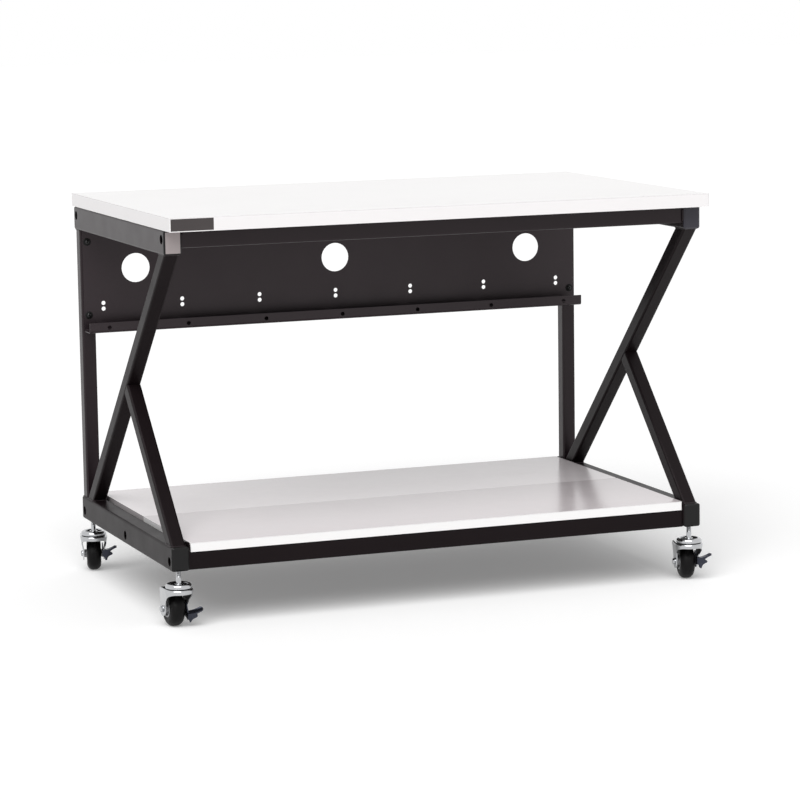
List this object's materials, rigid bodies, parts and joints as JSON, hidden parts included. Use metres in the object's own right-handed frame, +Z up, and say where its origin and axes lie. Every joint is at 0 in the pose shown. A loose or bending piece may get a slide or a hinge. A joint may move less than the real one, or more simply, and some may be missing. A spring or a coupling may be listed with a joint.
{
  "type": "mobile assembly table",
  "caption": "Mobile workshop assembly table: laminated top and lower shelf on bolted tube end frames with diagonal braces, rear cable panel with tray, and braked swivel casters.",
  "frame": {"origin": "on the floor, under the middle of the work top", "axes": "+X to the right along the length of the top, +Y to the back where the cable panel is, +Z up"},
  "size_m": [1.2661, 0.7991, 0.8651],
  "materials": {
    "top_laminate": "white laminate on board, satin",
    "shelf_laminate": "light grey laminate on board, glossy",
    "powder_coat": "black powder coat, fine satin texture",
    "black_cap": "black moulded plastic",
    "silver_cap": "silver-grey moulded plastic",
    "chrome_plate": "bright plated steel",
    "tyre_rubber": "black rubber",
    "hub_plastic": "grey moulded plastic",
    "lever_steel": "dark zinc plated stamping"
  },
  "bodies": {
    "table_frame": {"tabletop": "top_laminate", "shelf_front": "shelf_laminate", "shelf_rear": "shelf_laminate", "top_rail_left": "powder_coat", "top_rail_right": "powder_coat", "bottom_rail_left": "powder_coat", "bottom_rail_right": "powder_coat", "rear_leg_left": "powder_coat", "rear_leg_right": "powder_coat", "long_brace_left": "powder_coat", "long_brace_right": "powder_coat", "short_brace_left": "powder_coat", "short_brace_right": "powder_coat", "top_cross_rail_front": "powder_coat", "top_cross_rail_rear": "powder_coat", "bottom_cross_rail_front": "powder_coat", "bottom_cross_rail_centre": "powder_coat", "bottom_cross_rail_rear": "powder_coat", "top_cap_front_left": "silver_cap", "top_cap_front_right": "black_cap", "top_cap_rear_left": "black_cap", "top_cap_rear_right": "black_cap", "bottom_cap_front_left": "black_cap", "bottom_cap_front_right": "black_cap", "bottom_cap_rear_left": "black_cap", "bottom_cap_rear_right": "black_cap", "back_panel": "powder_coat", "caster_stem_front_left": "chrome_plate", "swivel_cup_front_left": "chrome_plate", "caster_stem_front_right": "chrome_plate", "swivel_cup_front_right": "chrome_plate", "caster_stem_rear_left": "chrome_plate", "swivel_cup_rear_left": "chrome_plate", "caster_stem_rear_right": "chrome_plate", "swivel_cup_rear_right": "chrome_plate"},
    "swivel_front_left": {"fork_front_left": "chrome_plate", "axle_bolt_front_left": "chrome_plate", "axle_nut_front_left": "chrome_plate"},
    "swivel_front_right": {"fork_front_right": "chrome_plate", "axle_bolt_front_right": "chrome_plate", "axle_nut_front_right": "chrome_plate"},
    "swivel_rear_left": {"fork_rear_left": "chrome_plate", "axle_bolt_rear_left": "chrome_plate", "axle_nut_rear_left": "chrome_plate"},
    "swivel_rear_right": {"fork_rear_right": "chrome_plate", "axle_bolt_rear_right": "chrome_plate", "axle_nut_rear_right": "chrome_plate"},
    "wheel_front_left": {"tyre_front_left": "tyre_rubber", "hub_front_left": "hub_plastic"},
    "wheel_front_right": {"tyre_front_right": "tyre_rubber", "hub_front_right": "hub_plastic"},
    "wheel_rear_left": {"tyre_rear_left": "tyre_rubber", "hub_rear_left": "hub_plastic"},
    "wheel_rear_right": {"tyre_rear_right": "tyre_rubber", "hub_rear_right": "hub_plastic"},
    "brake_front_left": {"brake_lever_front_left": "lever_steel"},
    "brake_front_right": {"brake_lever_front_right": "lever_steel"},
    "brake_rear_left": {"brake_lever_rear_left": "lever_steel"},
    "brake_rear_right": {"brake_lever_rear_right": "lever_steel"}
  },
  "joints": [
    {"name": "swivel_turn_front_left", "type": "hinge", "parent": "table_frame", "child": "swivel_front_left", "pos_m": [-0.59055, -0.31623, 0], "axis": [0, 0, 1], "continuous": true},
    {"name": "swivel_turn_front_right", "type": "hinge", "parent": "table_frame", "child": "swivel_front_right", "pos_m": [0.59055, -0.31623, 0], "axis": [0, 0, 1], "continuous": true},
    {"name": "swivel_turn_rear_left", "type": "hinge", "parent": "table_frame", "child": "swivel_rear_left", "pos_m": [-0.59055, 0.34417, 0], "axis": [0, 0, 1], "continuous": true},
    {"name": "swivel_turn_rear_right", "type": "hinge", "parent": "table_frame", "child": "swivel_rear_right", "pos_m": [0.59055, 0.34417, 0], "axis": [0, 0, 1], "continuous": true},
    {"name": "wheel_roll_front_left", "type": "hinge", "parent": "swivel_front_left", "child": "wheel_front_left", "pos_m": [-0.59243, -0.28028, 0.038], "axis": [0.9986, 0.0523, 0], "continuous": true},
    {"name": "wheel_roll_front_right", "type": "hinge", "parent": "swivel_front_right", "child": "wheel_front_right", "pos_m": [0.59926, -0.2813, 0.038], "axis": [0.9703, -0.2419, 0], "continuous": true},
    {"name": "wheel_roll_rear_left", "type": "hinge", "parent": "swivel_rear_left", "child": "wheel_rear_left", "pos_m": [-0.58184, 0.3791, 0.038], "axis": [0.9703, -0.2419, 0], "continuous": true},
    {"name": "wheel_roll_rear_right", "type": "hinge", "parent": "swivel_rear_right", "child": "wheel_rear_right", "pos_m": [0.59431, 0.37997, 0.038], "axis": [0.9945, -0.1045, 0], "continuous": true},
    {"name": "brake_press_front_left", "type": "hinge", "parent": "swivel_front_left", "child": "brake_front_left", "pos_m": [-0.59243, -0.28028, 0.038], "axis": [0.9986, 0.0523, 0], "range_deg": [-30, 0]},
    {"name": "brake_press_front_right", "type": "hinge", "parent": "swivel_front_right", "child": "brake_front_right", "pos_m": [0.59926, -0.2813, 0.038], "axis": [0.9703, -0.2419, 0], "range_deg": [0, 30]},
    {"name": "brake_press_rear_left", "type": "hinge", "parent": "swivel_rear_left", "child": "brake_rear_left", "pos_m": [-0.58184, 0.3791, 0.038], "axis": [0.9703, -0.2419, 0], "range_deg": [0, 30]},
    {"name": "brake_press_rear_right", "type": "hinge", "parent": "swivel_rear_right", "child": "brake_rear_right", "pos_m": [0.59431, 0.37997, 0.038], "axis": [0.9945, -0.1045, 0], "range_deg": [0, 30]}
  ]
}
